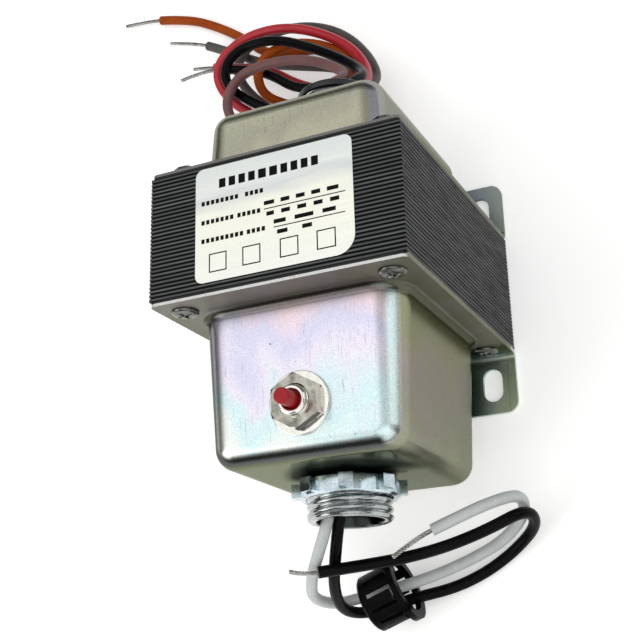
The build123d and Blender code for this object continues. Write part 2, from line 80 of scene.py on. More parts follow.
lead_routes = {
    "primary_red": [
        (28.5, -6.5, 36.5), (39.5, -5.0, 36.5), (51.0, -4.5, 35.5), (61.0, -5.0, 25.5),
        (73.4, 1.2, 22.3), (83.6, 13.1, 20.3), (89.6, 25.0, 18.8), (91.1, 35.8, 17.8),
        (88.7, 43.9, 17.4), (83.6, 48.7, 17.3), (77.0, 48.2, 16.9), (69.5, 43.1, 17.0),
        (64.5, 36.5, 16.0), (56.5, 29.5, 15.0), (51.0, 20.5, 14.0), (51.5, 10.5, 13.5),
        (59.5, 6.0, 12.5), (67.5, 11.5, 12.0), (73.0, 23.5, 11.5), (81.0, 33.0, 11.5),
        (85.0, 43.0, 11.5), (88.0, 53.0, 11.0)],
    "primary_black": [
        (28.5, -5.0, 42.5), (39.5, -5.0, 41.5), (51.0, -4.5, 40.5), (56.5, -7.0, 33.5),
        (65.4, 0.6, 29.0), (75.2, 12.6, 25.3), (83.2, 25.0, 22.8), (85.7, 34.9, 20.8),
        (84.4, 41.1, 20.4), (80.2, 44.4, 20.4), (74.0, 43.5, 20.4), (68.0, 37.5, 20.0),
        (61.0, 27.5, 19.0), (53.5, 20.5, 18.0), (50.5, 11.0, 17.5), (54.5, 2.5, 16.5),
        (63.5, 2.5, 16.0), (68.0, 11.5, 15.5), (69.5, 22.5, 15.0), (78.0, 32.0, 14.5),
        (82.5, 41.5, 14.5), (85.0, 51.0, 14.0)],
    "primary_brown": [
        (28.5, 6.0, 42.5), (39.5, 3.5, 42.0), (51.0, 2.0, 42.0), (56.5, -3.0, 35.0),
        (65.5, 6.5, 31.0), (71.0, 17.0, 28.5), (73.5, 27.0, 26.5), (73.5, 35.5, 25.0),
        (70.0, 40.5, 24.0), (64.5, 42.0, 23.5), (58.0, 39.0, 23.0), (51.5, 32.0, 22.5),
        (46.5, 22.0, 22.0), (46.0, 11.5, 21.5)],
    "primary_orange": [
        (28.5, 5.0, 34.5), (39.5, 4.0, 35.5), (51.0, 4.0, 35.5), (66.5, -0.5, 21.5),
        (77.0, 8.5, 20.0), (82.5, 19.0, 19.0), (83.5, 27.0, 18.5), (81.0, 32.5, 18.5),
        (76.0, 35.0, 17.5), (71.0, 34.0, 14.5), (68.5, 28.5, 10.5), (64.5, 17.5, 6.0),
        (66.0, 8.0, 3.5), (74.6, 4.2, 1.6), (84.0, 8.2, 1.6), (90.6, 18.6, 1.6),
        (93.0, 38.5, 1.6), (102.5, 48.0, 1.6), (110.0, 58.0, 1.6), (116.0, 68.5, 1.6),
        (119.0, 79.5, 1.6)],
    "primary_gray": [
        (28.8, 0.5, 32.0), (39.5, 1.0, 33.5), (51.0, 0.0, 33.5), (61.0, -5.2, 20.7),
        (70.6, -2.6, 18.2), (83.4, 6.4, 15.6), (92.0, 19.2, 12.8), (95.4, 32.2, 10.2),
        (94.1, 41.8, 8.9), (90.2, 46.6, 8.0), (84.5, 46.8, 7.5), (76.5, 42.0, 7.5),
        (66.0, 31.0, 7.5), (59.5, 22.0, 7.5), (61.0, 11.5, 7.5), (69.5, 5.5, 7.0),
        (78.5, 10.5, 6.0), (84.5, 27.5, 5.0), (88.5, 39.0, 5.0), (96.0, 50.0, 4.5),
        (101.5, 59.5, 4.5)],
    "secondary_white": [
        (-28.5, 7.5, 33.0), (-36.5, 6.5, 32.5), (-45.0, 5.0, 34.5), (-54.0, 5.1, 37.8),
        (-63.0, 6.0, 38.7), (-69.5, 10.4, 35.2), (-74.0, 16.0, 27.5), (-77.5, 20.0, 19.0),
        (-78.5, 17.5, 10.5), (-76.5, 9.5, 7.5), (-75.0, 0.5, 7.5), (-72.5, -8.5, 5.5),
        (-69.0, -18.0, 4.0), (-65.2, -26.5, 4.5), (-60.0, -33.3, 8.5), (-56.4, -34.4, 15.0),
        (-58.6, -28.6, 20.3), (-61.6, -21.6, 22.8), (-64.5, -14.5, 24.0)],
    "secondary_black": [
        (-45.3, -1.0, 39.5), (-53.2, 2.0, 36.7), (-62.6, 4.4, 36.0), (-69.5, 7.2, 32.2),
        (-75.5, 11.5, 24.5), (-80.0, 14.0, 15.5), (-81.0, 12.0, 8.0), (-79.5, 5.5, 5.5),
        (-77.5, -3.0, 5.0), (-75.7, -12.0, 2.5), (-72.2, -20.7, 1.6), (-67.2, -28.6, 1.6),
        (-62.7, -35.8, 7.5), (-60.2, -35.8, 15.8), (-65.0, -26.8, 19.6), (-68.2, -17.2, 21.2),
        (-70.5, -8.0, 24.5), (-72.0, 2.0, 28.5), (-73.5, 11.0, 34.0)],
}

# Tips of the bare strands

strand_tips = {
    "primary_red": (90.0, 61.0, 10.5),
    "primary_black": (85.5, 64.0, 13.0),
    "primary_brown": (46.5, 1.0, 20.5),
    "primary_orange": (121.5, 94.0, 1.0),
    "primary_gray": (107.0, 74.0, 4.0),
    "secondary_white": (-70.9, -6.8, 30.2),
    "secondary_black": (-73.0, 17.5, 36.0),
}

# Diameter of the leads' insulation, and the length of straight bare strand past it, in millimetres

lead_diameter = 2.9
strand_straight = 4.0

# Building blocks for the materials


def socket(tree, node, name, value):
    """Set a socket to a number or colour, or link another node's output to it."""
    if isinstance(value, bpy.types.NodeSocket):
        tree.links.new(value, node.inputs[name])
    else:
        node.inputs[name].default_value = value


def add(tree, kind, settings=None, **sockets):
    """New node with its settings and sockets."""
    node = tree.nodes.new("ShaderNode" + kind)
    for name, value in (settings or {}).items():
        setattr(node, name, value)
    for name, value in sockets.items():
        socket(tree, node, name, value)
    return node


def coordinates(tree, scale=(1, 1, 1), turn=(0, 0, 0)):
    """Place on the part in millimetres, times a scale for each axis."""
    place = add(tree, "TexCoord").outputs["Object"]
    mapped = add(tree, "Mapping", Vector=place, Scale=[s / MM for s in scale], Rotation=turn)
    return mapped.outputs["Vector"]


def axes(tree):
    """X, Y and Z of the place on the part, in millimetres."""
    return add(tree, "SeparateXYZ", Vector=coordinates(tree)).outputs


def facing(tree):
    """The surface's own direction: x, y and z parts of its normal."""
    normal = add(tree, "TexCoord").outputs["Normal"]
    return add(tree, "SeparateXYZ", Vector=normal).outputs


def noise(tree, vector, scale, detail=3.0, roughness=0.55, distortion=0.0):
    """Cloudy noise between 0 and 1."""
    node = add(tree, "TexNoise", Vector=vector, Scale=scale, Detail=detail, Roughness=roughness)
    socket(tree, node, "Distortion", distortion)
    return node.outputs["Fac"]


def ramp(tree, factor, stops):
    """Colour ramp through (place, colour) stops."""
    node = add(tree, "ValToRGB", Fac=factor)
    elements = node.color_ramp.elements
    while len(elements) < len(stops):
        elements.new(0.5)
    for element, (place, colour) in zip(elements, stops):
        element.position = place
        element.color = (*colour, 1.0)
    return node.outputs["Color"]


def spread(tree, value, low, high, to_low=0.0, to_high=1.0, smooth=True):
    """Value between low and high carried over to another range."""
    node = add(tree, "MapRange", {"interpolation_type": "SMOOTHSTEP" if smooth else "LINEAR"}, Value=value)
    for name, number in (("From Min", low), ("From Max", high), ("To Min", to_low), ("To Max", to_high)):
        node.inputs[name].default_value = number
    return node.outputs["Result"]


def maths(tree, operation, first, second=0.5):
    """Result of an operation on one or two values."""
    node = add(tree, "Math", {"operation": operation})
    socket(tree, node, 0, first)
    socket(tree, node, 1, second)
    return node.outputs[0]


def product(tree, first, second):
    """Two values multiplied."""
    return maths(tree, "MULTIPLY", first, second)


def total(tree, *shares):
    """Sum of (value, weight) shares."""
    result = product(tree, *shares[0])
    for value, weight in shares[1:]:
        result = maths(tree, "ADD", result, product(tree, value, weight))
    return result


def from_hub_axis(tree, shift=0.0, stretch=1.0):
    """Distance from the hub axis, with its sideways part shifted and stretched."""
    place = axes(tree)
    sideways = product(tree, maths(tree, "ADD", place["Y"], shift), stretch)
    upward = maths(tree, "SUBTRACT", place["Z"], axis_height)
    squares = maths(tree, "ADD", maths(tree, "POWER", upward, 2.0), maths(tree, "POWER", sideways, 2.0))
    return maths(tree, "SQRT", squares)


def blend(tree, factor, first, second, mode="MIX"):
    """Mix of two colours."""
    node = add(tree, "Mix", {"data_type": "RGBA", "blend_type": mode})
    for index, value in ((0, factor), (6, first), (7, second)):
        if isinstance(value, tuple):
            value = (*value, 1.0)
        socket(tree, node, index, value)
    return node.outputs[2]


def bump(tree, height, depth, under=None):
    """Bump of a depth in millimetres, on top of another if one is given."""
    node = add(tree, "Bump", Height=height, Distance=depth * MM, Strength=1.0)
    if under is not None:
        tree.links.new(under, node.inputs["Normal"])
    return node.outputs["Normal"]


def material(name, **sockets):
    """New material, its node tree and its shader with plain sockets set."""
    made = bpy.data.materials.new(name)
    made.use_nodes = True
    tree = made.node_tree
    shader = tree.nodes["Principled BSDF"]
    for key, value in sockets.items():
        socket(tree, shader, key.replace("_", " "), value)
    return made, tree, shader


def dress(tree, shader, colour, roughness, normal):
    """Link a shader's colour, roughness and bump."""
    socket(tree, shader, "Base Color", colour)
    socket(tree, shader, "Roughness", roughness)
    socket(tree, shader, "Normal", normal)


# Materials


def painted_hub_shade(tree):
    """Dull patch of painted shade round the hub, on the upper part of the end that faces -X."""
    near_hub = spread(tree, from_hub_axis(tree, 3.5, 1.2), 17.5, 23.0, 1.0, 0.0)
    upper = spread(tree, axes(tree)["Z"], 36.0, 46.0)
    outward = spread(tree, facing(tree)["X"], -0.95, -0.75, 1.0, 0.0)
    return product(tree, product(tree, near_hub, upper), outward)


def sheet_wear(tree):
    """Sparse specks and faint long scratches."""
    speck = add(tree, "TexVoronoi", Vector=coordinates(tree), Scale=0.30).outputs["Distance"]
    speck_mask = noise(tree, coordinates(tree), 0.11, 1.0)
    speck = maths(tree, "LESS_THAN", speck, spread(tree, speck_mask, 0.52, 0.8, 0.0, 0.10))
    scratch = noise(tree, coordinates(tree, (0.05, 2.4, 2.4), (0.05, 0.0, 0.12)), 1.0, 1.0)
    return maths(tree, "MAXIMUM", speck, product(tree, spread(tree, scratch, 0.67, 0.74), 0.3))


def zinc_sheet(name, film_stops, side_stops, foot_stops, corner, painted_fillet, rim, root, end):
    """Drawn zinc plated sheet: film colours on top from the bell's root to its end, olive sides darkened as
    painted shade, specks and scratches. The corner colour is a painted highlight, the fillet colour a painted
    tone, the rim the flange edge's colour."""
    made, tree, shader = material(name, Metallic=1.0, Specular_Tint=(0.60, 0.615, 0.56, 1.0))
    place = axes(tree)
    faced = facing(tree)
    up = faced["Z"]
    clouds = noise(tree, coordinates(tree, (0.7, 1.0, 1.0)), 0.06, 2.0, 0.5, 0.6)
    streaks = noise(tree, coordinates(tree, (0.04, 1.7, 1.7)), 0.9, 2.0, 0.5)
    grain = noise(tree, coordinates(tree), 3.2, 2.0, 0.6)
    along = spread(tree, place["X"], root, end, 0.0, 0.5, False)
    across = spread(tree, place["Y"], -22.0, 22.0, -0.12, 0.10, False)
    film = total(tree, (along, 1.0), (across, 1.0), (clouds, 0.70), (streaks, 0.10), (grain, 0.05))

    # Bell: sides and end face darkened as painted shade, edges with painted highlight and painted fillet
    # tone, film on top
    colour = ramp(tree, film, side_stops)
    # The end face, facing ±X, is darkened further as painted shade
    end_face = spread(tree, maths(tree, "ABSOLUTE", faced["X"]), 0.75, 0.95)
    colour = blend(tree, end_face, colour, blend(tree, 1.0, colour, (0.64, 0.68, 0.60), "MULTIPLY"))
    # Painted highlight on the rounded corner of the -Y side, the corner colour; the other sides' turned edges
    # take the painted fillet tone
    lit_side = spread(tree, faced["Y"], -0.45, -0.10, 1.0, 0.0)
    other_side = maths(tree, "SUBTRACT", 1.0, lit_side)
    # Painted fillet tone on the turned edges: dark painted shade on the secondary cover, painted light on the
    # primary
    colour = blend(tree, product(tree, other_side, spread(tree, up, 0.12, 0.55)), colour, painted_fillet)
    colour = blend(tree, product(tree, lit_side, spread(tree, up, 0.42, 0.72)), colour, corner)
    colour = blend(tree, spread(tree, up, 0.72, 0.95), colour, ramp(tree, film, film_stops))

    # Painted shade at the bell's root, then the flange and foot
    depth = maths(tree, "ABSOLUTE", place["X"])
    foot_free = spread(tree, place["Z"], 6.0, 12.0)
    # Dark painted shade in the crease at the bell's root
    root_shade = spread(tree, depth, flange_face + 1.3, flange_face + 2.8, 0.85, 0.0)
    colour = blend(tree, product(tree, root_shade, foot_free), colour, (0.075, 0.07, 0.055))
    # Flange faces darkened as painted shade; on the top edge the half next to the core is black painted
    # shade, the outer half takes the rim colour
    flange = product(tree, spread(tree, depth, flange_face + 0.05, flange_face + 0.25, 1.0, 0.0), foot_free)
    edge = blend(tree, spread(tree, depth, flange_face - 0.75, flange_face - 0.65), (0.05, 0.05, 0.05), rim)
    flange_colour = ramp(tree, clouds, [(0.40, (0.26, 0.255, 0.20)), (0.60, (0.30, 0.285, 0.26))])
    flange_colour = blend(tree, spread(tree, up, 0.4, 0.8), flange_colour, edge)
    colour = blend(tree, flange, colour, flange_colour)
    # On the feet the film darkens towards the bell as painted shade
    foot = spread(tree, place["Z"], 3.0, 5.0, 1.0, 0.0)
    outward = spread(tree, maths(tree, "ABSOLUTE", place["Y"]), 18.0, 33.0, 0.0, 0.7, False)
    colour = blend(tree, foot, colour, ramp(tree, total(tree, (outward, 1.0), (clouds, 0.5)), foot_stops))

    # Painted shade round the hub, mottling and wear
    hub_shade_mask = painted_hub_shade(tree)
    # Near-black painted shade round the hub, for the locknut's shade and its dark reflection
    colour = blend(tree, product(tree, hub_shade_mask, 0.95), colour, (0.012, 0.020, 0.018))
    mottle = spread(tree, grain, 0.3, 0.75, 0.80, 1.06)
    colour = blend(tree, 1.0, colour, blend(tree, mottle, (0, 0, 0), (1, 1, 1)), "MULTIPLY")
    colour = blend(tree, sheet_wear(tree), colour, (0.16, 0.155, 0.14))
    satin = spread(tree, up, 0.2, 0.9, 0.17, 0.25)
    dulled = maths(tree, "MAXIMUM", hub_shade_mask, flange)
    roughness = total(tree, (satin, 1.0), (grain, 0.08), (dulled, 0.3))
    peel = bump(tree, noise(tree, coordinates(tree), 2.6, 2.0), 0.006)
    dress(tree, shader, colour, roughness, bump(tree, streaks, 0.008, peel))
    return made


def plated(name, dark, light, roughness, grain_scale=1.6, depth=0.006, bore=None, neck=None, flank_highlight=None):
    """Bright plated metal with fine grain and cloudy patches. Painted shade darkens a bore round the hub axis
    and a neck between two places along X. Faces that don't look up get a painted highlight, painted shade
    towards -X."""
    made, tree, shader = material(name, Metallic=1.0)
    grain = noise(tree, coordinates(tree), grain_scale, 4.0, 0.65)
    cloud = noise(tree, coordinates(tree), 0.22, 2.0)
    colour = ramp(tree, total(tree, (grain, 0.5), (cloud, 0.5)), [(0.36, dark), (0.62, light)])
    if bore:
        # Painted shade inside the bore
        inside = spread(tree, from_hub_axis(tree), bore + 0.05, bore + 0.25, 1.0, 0.0)
        colour = blend(tree, inside, colour, (0.035, 0.040, 0.038))
    if neck:
        # Painted shade on the neck, in the gap under the locknut
        along = axes(tree)["X"]
        past_start = spread(tree, along, neck[0] - 0.1, neck[0] + 0.1)
        before_stop = spread(tree, along, neck[1] - 0.1, neck[1] + 0.1, 1.0, 0.0)
        colour = blend(tree, product(tree, past_start, before_stop), colour, (0.012, 0.014, 0.014))
    if flank_highlight:
        # Painted highlight on the faces that don't look up, painted shade on those that face -X
        faced = facing(tree)
        end_facing_shade = spread(tree, faced["X"], -0.70, -0.45, 1.0, 0.0)
        flats = blend(tree, end_facing_shade, flank_highlight, (0.035, 0.035, 0.032))
        colour = blend(tree, spread(tree, faced["Z"], 0.80, 0.97), flats, colour)
    satin = spread(tree, grain, 0.3, 0.75, roughness, roughness + 0.12)
    dress(tree, shader, colour, satin, bump(tree, grain, depth))
    return made


def varnished_core(name):
    """Dipped varnish over plate edges: black grooves, each pair of plates a little different, thin dust,
    painted shade on the sides that face ±Y. The plate pairs are one millimetre apart, and a whole shift keeps
    their places above zero."""
    made, tree, shader = material(name, Metallic=0.0, IOR=1.5, Specular_IOR_Level=0.12)
    within_pair = maths(tree, "FRACT", maths(tree, "ADD", axes(tree)["X"], 100.0))
    ridge = maths(tree, "ABSOLUTE", maths(tree, "SUBTRACT", within_pair, 0.5))
    crest = spread(tree, ridge, 0.17, 0.43)
    flank = spread(tree, maths(tree, "ABSOLUTE", facing(tree)["Y"]), 0.5, 0.9)
    plates = noise(tree, coordinates(tree, (1.0, 0.004, 0.004)), 1.05, 2.0, 0.6)
    along = noise(tree, coordinates(tree, (1.2, 0.10, 0.10)), 0.9, 3.0, 0.6)
    dust = noise(tree, coordinates(tree), 0.8, 5.0, 0.7)
    stops = [(0.34, (0.060, 0.066, 0.066)), (0.52, (0.100, 0.108, 0.108)), (0.70, (0.16, 0.17, 0.17))]
    colour = ramp(tree, total(tree, (plates, 0.6), (along, 0.4)), stops)
    # Painted shade: the sides that face ±Y are darker
    colour = blend(tree, flank, colour, blend(tree, 1.0, colour, (0.19, 0.21, 0.20), "MULTIPLY"))
    colour = blend(tree, spread(tree, dust, 0.64, 0.80, 0.0, 0.3), colour, (0.20, 0.20, 0.185))
    groove = blend(tree, flank, (0.002, 0.002, 0.002), (0.017, 0.019, 0.018))
    colour = blend(tree, crest, groove, colour)
    rough = bump(tree, dust, 0.015, bump(tree, along, 0.03))
    dress(tree, shader, colour, spread(tree, along, 0.3, 0.75, 0.30, 0.52), rough)
    return made


def foil_label(name):
    """Pale metallised film: painted reflection in cool bands near the primary cover, cream towards the other,
    fine brushing.
    """
    made, tree, shader = material(name, Metallic=0.92)
    brushed = noise(tree, coordinates(tree, (2.2, 0.05, 1.0)), 1.6, 3.0, 0.6)
    bands = noise(tree, coordinates(tree, (1.0, 0.22, 1.0), (0.0, 0.0, 0.2)), 0.12, 2.0, 0.5)
    down = spread(tree, axes(tree)["X"], 14.0, -13.0, 0.0, 0.62, False)
    tone = total(tree, (down, 1.0), (bands, 0.55), (brushed, 0.06))
    # Painted reflection: pale and darker cool bands, then cream
    stops = [
        (0.18, (0.67, 0.71, 0.69)),
        (0.36, (0.75, 0.78, 0.76)),
        (0.47, (0.64, 0.67, 0.66)),
        (0.60, (0.86, 0.86, 0.76)),
        (0.95, (0.84, 0.85, 0.79)),
    ]
    satin = spread(tree, brushed, 0.3, 0.7, 0.22, 0.32)
    dress(tree, shader, ramp(tree, tone, stops), satin, bump(tree, brushed, 0.004))
    return made


def moulded(name, dark, light, roughness, scale=1.4, depth=0.012, shine=0.5):
    """Moulded or extruded plastic: faint mottling, satin grain and rougher patches."""
    made, tree, shader = material(name, Specular_IOR_Level=shine)
    mottle = noise(tree, coordinates(tree), 0.16, 3.0, 0.6)
    grain = noise(tree, coordinates(tree), scale, 4.0, 0.6)
    tone = total(tree, (mottle, 0.7), (grain, 0.3))
    colour = ramp(tree, tone, [(0.36, dark), (0.64, light)])
    satin = spread(tree, mottle, 0.3, 0.7, roughness, roughness + 0.14)
    dress(tree, shader, colour, satin, bump(tree, grain, depth))
    return made


def wound_copper(name):
    """Enamelled wire, turn beside turn."""
    made, tree, shader = material(name, Metallic=0.9)
    place = coordinates(tree)
    turns = add(tree, "TexWave", {"bands_direction": "Y"}, Vector=place, Scale=0.5, Distortion=0.3)
    tone = noise(tree, coordinates(tree, (0.2, 1.5, 0.2)), 0.8, 3.0)
    colour = ramp(tree, tone, [(0.35, (0.42, 0.16, 0.07)), (0.65, (0.68, 0.32, 0.16))])
    satin = spread(tree, tone, 0.3, 0.7, 0.25, 0.40)
    dress(tree, shader, colour, satin, bump(tree, turns.outputs["Fac"], 0.12))
    return made


SECONDARY_FILM = [
    (0.28, (0.94, 0.76, 0.76)),
    (0.40, (0.92, 0.76, 0.84)),
    (0.54, (0.72, 0.72, 0.91)),
    (0.66, (0.87, 0.81, 0.92)),
    (0.78, (0.69, 0.90, 0.92)),
    (0.92, (0.92, 0.95, 0.90)),
]
# Olive tint of the film on the bell's sides, darkened as painted shade
SECONDARY_SIDE = [
    (0.30, (0.29, 0.29, 0.185)),
    (0.46, (0.31, 0.30, 0.22)),
    (0.60, (0.325, 0.285, 0.265)),
    (0.72, (0.30, 0.29, 0.235)),
    (0.88, (0.32, 0.33, 0.235)),
]
SECONDARY_FOOT = [(0.25, (0.28, 0.38, 0.38)), (0.60, (0.60, 0.74, 0.70)), (0.95, (0.86, 0.94, 0.76))]
PRIMARY_FILM = [
    (0.30, (0.46, 0.45, 0.33)),
    (0.50, (0.55, 0.54, 0.40)),
    (0.68, (0.46, 0.45, 0.36)),
    (0.85, (0.53, 0.53, 0.40)),
]
# Primary sides: olive film darkened as painted shade
PRIMARY_SIDE = [(0.30, (0.28, 0.29, 0.205)), (0.55, (0.33, 0.32, 0.30)), (0.80, (0.34, 0.36, 0.255))]
PRIMARY_FOOT = [(0.25, (0.08, 0.11, 0.12)), (0.60, (0.17, 0.20, 0.215)), (0.95, (0.25, 0.29, 0.235))]
bell_root = 17.0
# Neck under the secondary locknut, which the hub's finish darkens as painted shade
hub_neck = (secondary_end - secondary_lift, secondary_end + 3.0)

finishes = {
    "core_varnish": varnished_core("core_varnish"),
    "winding_copper": wound_copper("winding_copper"),
    "label_foil": foil_label("label_foil"),
    # Secondary cover: the corner colour is a painted highlight, the dark fillet colour painted shade
    "zinc_sheet": zinc_sheet(
        "zinc_sheet", SECONDARY_FILM, SECONDARY_SIDE, SECONDARY_FOOT, corner=(0.72, 0.86, 0.85),
        painted_fillet=(0.10, 0.11, 0.11), rim=(0.84, 0.84, 0.83), root=-bell_root, end=secondary_end,
    ),
    # Primary cover: the pale fillet colour is painted light, the dark rim colour painted shade
    "zinc_primary": zinc_sheet(
        "zinc_primary", PRIMARY_FILM, PRIMARY_SIDE, PRIMARY_FOOT, corner=(0.38, 0.37, 0.42),
        painted_fillet=(0.40, 0.39, 0.34), rim=(0.26, 0.26, 0.25), root=bell_root, end=primary_end,
    ),
}

# Plated metals: colours, roughness, then grain scale and depth, bore and neck for painted shade, and painted
# highlight colour if they differ
metals = {
    # The screws' zinc is darkened as painted shade
    "zinc_screws": ((0.075, 0.075, 0.070), (0.19, 0.19, 0.18), 0.14),
    "zinc_hub": ((0.31, 0.38, 0.42), (0.66, 0.76, 0.80), 0.07, 2.2, 0.003, None, hub_neck),
    "zinc_nipple": ((0.26, 0.28, 0.28), (0.50, 0.52, 0.52), 0.10, 2.2, 0.004, nipple_bore),
    # The nut's flanks get a painted highlight colour, and those facing -X painted shade
    "nickel_nut": (
        (0.12, 0.115, 0.095), (0.50, 0.49, 0.43), 0.10, 0.5, 0.004, None, None, (0.95, 0.94, 0.88)
    ),
    "nickel": ((0.68, 0.67, 0.61), (0.92, 0.91, 0.85), 0.07, 2.6, 0.003),
    "terminal_brass": ((0.50, 0.36, 0.14), (0.76, 0.58, 0.27), 0.25),
    "tinned_strands": ((0.24, 0.235, 0.225), (0.58, 0.57, 0.55), 0.22),
}
for name, look in metals.items():
    finishes[name] = plated(name, *look)

# Plastics: dark and light colour, roughness, then grain scale, grain depth and shine if they differ
lead_grain = (1.2, 0.02)
plastics = {
    "bobbin_nylon": ((0.62, 0.58, 0.48), (0.76, 0.72, 0.62), 0.45),
    "coil_tape": ((0.60, 0.48, 0.12), (0.74, 0.62, 0.22), 0.30, 0.6),
    "black_plastic": ((0.012, 0.012, 0.013), (0.026, 0.026, 0.028), 0.30),
    "button_red": ((0.34, 0.006, 0.010), (0.44, 0.012, 0.018), 0.30, 1.8, 0.008, 0.3),
    "label_ink": ((0.003, 0.003, 0.003), (0.006, 0.006, 0.006), 0.6, 3.0, 0.003, 0.1),
    "snap_nylon": ((0.002, 0.002, 0.0025), (0.005, 0.005, 0.005), 0.20, 1.4, 0.012, 0.04),
    "lead_red": ((0.42, 0.008, 0.018), (0.54, 0.014, 0.028), 0.34, *lead_grain),
    "lead_black": ((0.002, 0.002, 0.003), (0.005, 0.005, 0.006), 0.22, *lead_grain, 0.07),
    "lead_brown": ((0.15, 0.068, 0.066), (0.21, 0.10, 0.097), 0.42, *lead_grain, 0.3),
    "lead_orange": ((0.29, 0.046, 0.003), (0.42, 0.080, 0.007), 0.38, *lead_grain, 0.10),
    "lead_gray": ((0.070, 0.063, 0.058), (0.105, 0.096, 0.090), 0.40, *lead_grain, 0.3),
    "lead_white": ((0.52, 0.545, 0.545), (0.62, 0.645, 0.645), 0.36, *lead_grain),
}
for name, look in plastics.items():
    finishes[name] = moulded(name, *look)

node_finish = {
    "e_laminations": "core_varnish",
    "i_laminations": "core_varnish",
    "bobbin": "bobbin_nylon",
    "primary_winding": "winding_copper",
    "secondary_winding": "winding_copper",
    "primary_tape": "coil_tape",
    "secondary_tape": "coil_tape",
    "primary_cover": "zinc_primary",
    "secondary_cover": "zinc_sheet",
    "breaker_body": "black_plastic",
    "breaker_terminals": "terminal_brass",
    "snap_bushing": "snap_nylon",
}
for name, finish in node_finish.items():
    data = nodes[name].data
    data.materials.clear()
    data.materials.append(finishes[finish])

# Building blocks for the pieces


def plane(origin, x_dir, z_dir):
    """Matrix of a plane in the part's frame, in millimetres."""
    x, z = Vector(x_dir), Vector(z_dir)
    y = z.cross(x)
    rows = [(x[axis], y[axis], z[axis], origin[axis]) for axis in range(3)]
    return Matrix((*rows, (0, 0, 0, 1)))


def piece(name, mesh, finish, replaced=(), body="housing", sharp=35):
    """Object from a bmesh in millimetres, smooth but for its sharp edges, riding on a body. Its slot holds
    its finish."""
    bmesh.ops.remove_doubles(mesh, verts=mesh.verts, dist=1e-4)
    bmesh.ops.recalc_face_normals(mesh, faces=mesh.faces)
    bmesh.ops.scale(mesh, vec=(MM, MM, MM), verts=mesh.verts)
    data = bpy.data.meshes.new(name)
    mesh.to_mesh(data)
    mesh.free()
    for polygon in data.polygons:
        polygon.use_smooth = True
    data.set_sharp_from_angle(angle=radians(sharp))
    data.materials.append(finishes[finish])
    made = bpy.data.objects.new(name, data)
    scene.collection.objects.link(made)
    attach(made, body)
    if replaced:
        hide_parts(*replaced)
    return made


def soften(made, width, segments, angle):
    """Bevel on a piece's sharp edges, in millimetres."""
    bevel = made.modifiers.new("edges", "BEVEL")
    bevel.width = width * MM
    bevel.segments = segments
    bevel.limit_method = "ANGLE"
    bevel.angle_limit = radians(angle)
    return made


def loops_to_faces(mesh, loops, closed):
    """Quads between neighbouring rings of vertices, and between the last and the first if closed."""
    pairs = list(zip(loops, loops[1:]))
    if closed:
        pairs.append((loops[-1], loops[0]))
    for low, high in pairs:
        count = len(low)
        for index in range(count):
            after = (index + 1) % count
            corners = []
            for vert in (low[index], low[after], high[after], high[index]):
                if vert not in corners:
                    corners.append(vert)
            if len(corners) > 2:
                mesh.faces.new(corners)


def turned(mesh, place, profile, segments=96, closed=True, radius_at=None, height_at=None):
    """Body of revolution through (radius, height) points. radius_at and height_at change a point's radius
    or height by its radius, height and angle."""
    loops = []
    for radius, height in profile:
        ring = []
        for step in range(segments if radius else 1):
            angle = tau * step / segments
            out = radius_at(radius, height, angle) if radius_at and radius else radius
            level = height_at(radius, height, angle) if height_at else height
            ring.append(mesh.verts.new(place @ Vector((out * cos(angle), out * sin(angle), level))))
        loops.append(ring if radius else ring * segments)
    loops_to_faces(mesh, loops, closed)


def polar(mesh, place, columns):
    """Closed body from columns of (angle, [(radius, height), ...]) that all have as many rows."""
    loops = []
    for row in range(len(columns[0][1])):
        ring = []
        for angle, points in columns:
            radius, height = points[row]
            ring.append(mesh.verts.new(place @ Vector((radius * cos(angle), radius * sin(angle), height))))
        loops.append(ring)
    loops_to_faces(mesh, loops, True)


def arc(centre_radius, centre_height, radius, first, last, steps):
    """Profile points (radius, height) on an arc between two angles."""
    points = []
    for step in range(steps + 1):
        angle = first + (last - first) * step / steps
        points.append((centre_radius + radius * cos(angle), centre_height + radius * sin(angle)))
    return points


def thread(pitch, depth, start, stop, fade):
    """Radius change of a rounded right-hand thread between two heights, running out over a fade length."""

    def radius_at(radius, height, angle):
        if height < start - 1e-6 or height > stop + 1e-6:
            return radius
        inside = min(1.0, (height - start) / fade, (stop - height) / fade)
        turn = (height / pitch - angle / tau) % 1.0
        crest = 0.5 + 0.5 * cos(tau * turn)
        return radius - depth * max(0.0, inside) * (1.0 - crest**0.7)

    return radius_at


def rows_between(low, high, step):
    """Heights from low to high about a step apart."""
    count = max(1, round((high - low) / step))
    return [low + (high - low) * index / count for index in range(count + 1)]


# Conduit hubs: threaded nipples, the primary one's mouth ring and lugged locknuts

secondary_hub = plane((secondary_end, 0, axis_height), (0, -1, 0), (-1, 0, 0))
primary_hub = plane((primary_end, 0, axis_height), (0, 1, 0), (1, 0, 0))
secondary_reach = 10.4
primary_reach = 10.9
nipple_inside = -3.7
nipple_collar = 13.0
nipple_relief = 0.3
nipple_edge = 0.75
nipple_edge_step = 0.15
cover_sheet = 1.2
locknut_thickness = 4.0
thread_pitch = 2.0
thread_depth = 0.75
thread_fade = 0.35
thread_rows = 0.125
thread_in_locknut = 0.5
mouth_round = 0.5
mouth_step = 0.15


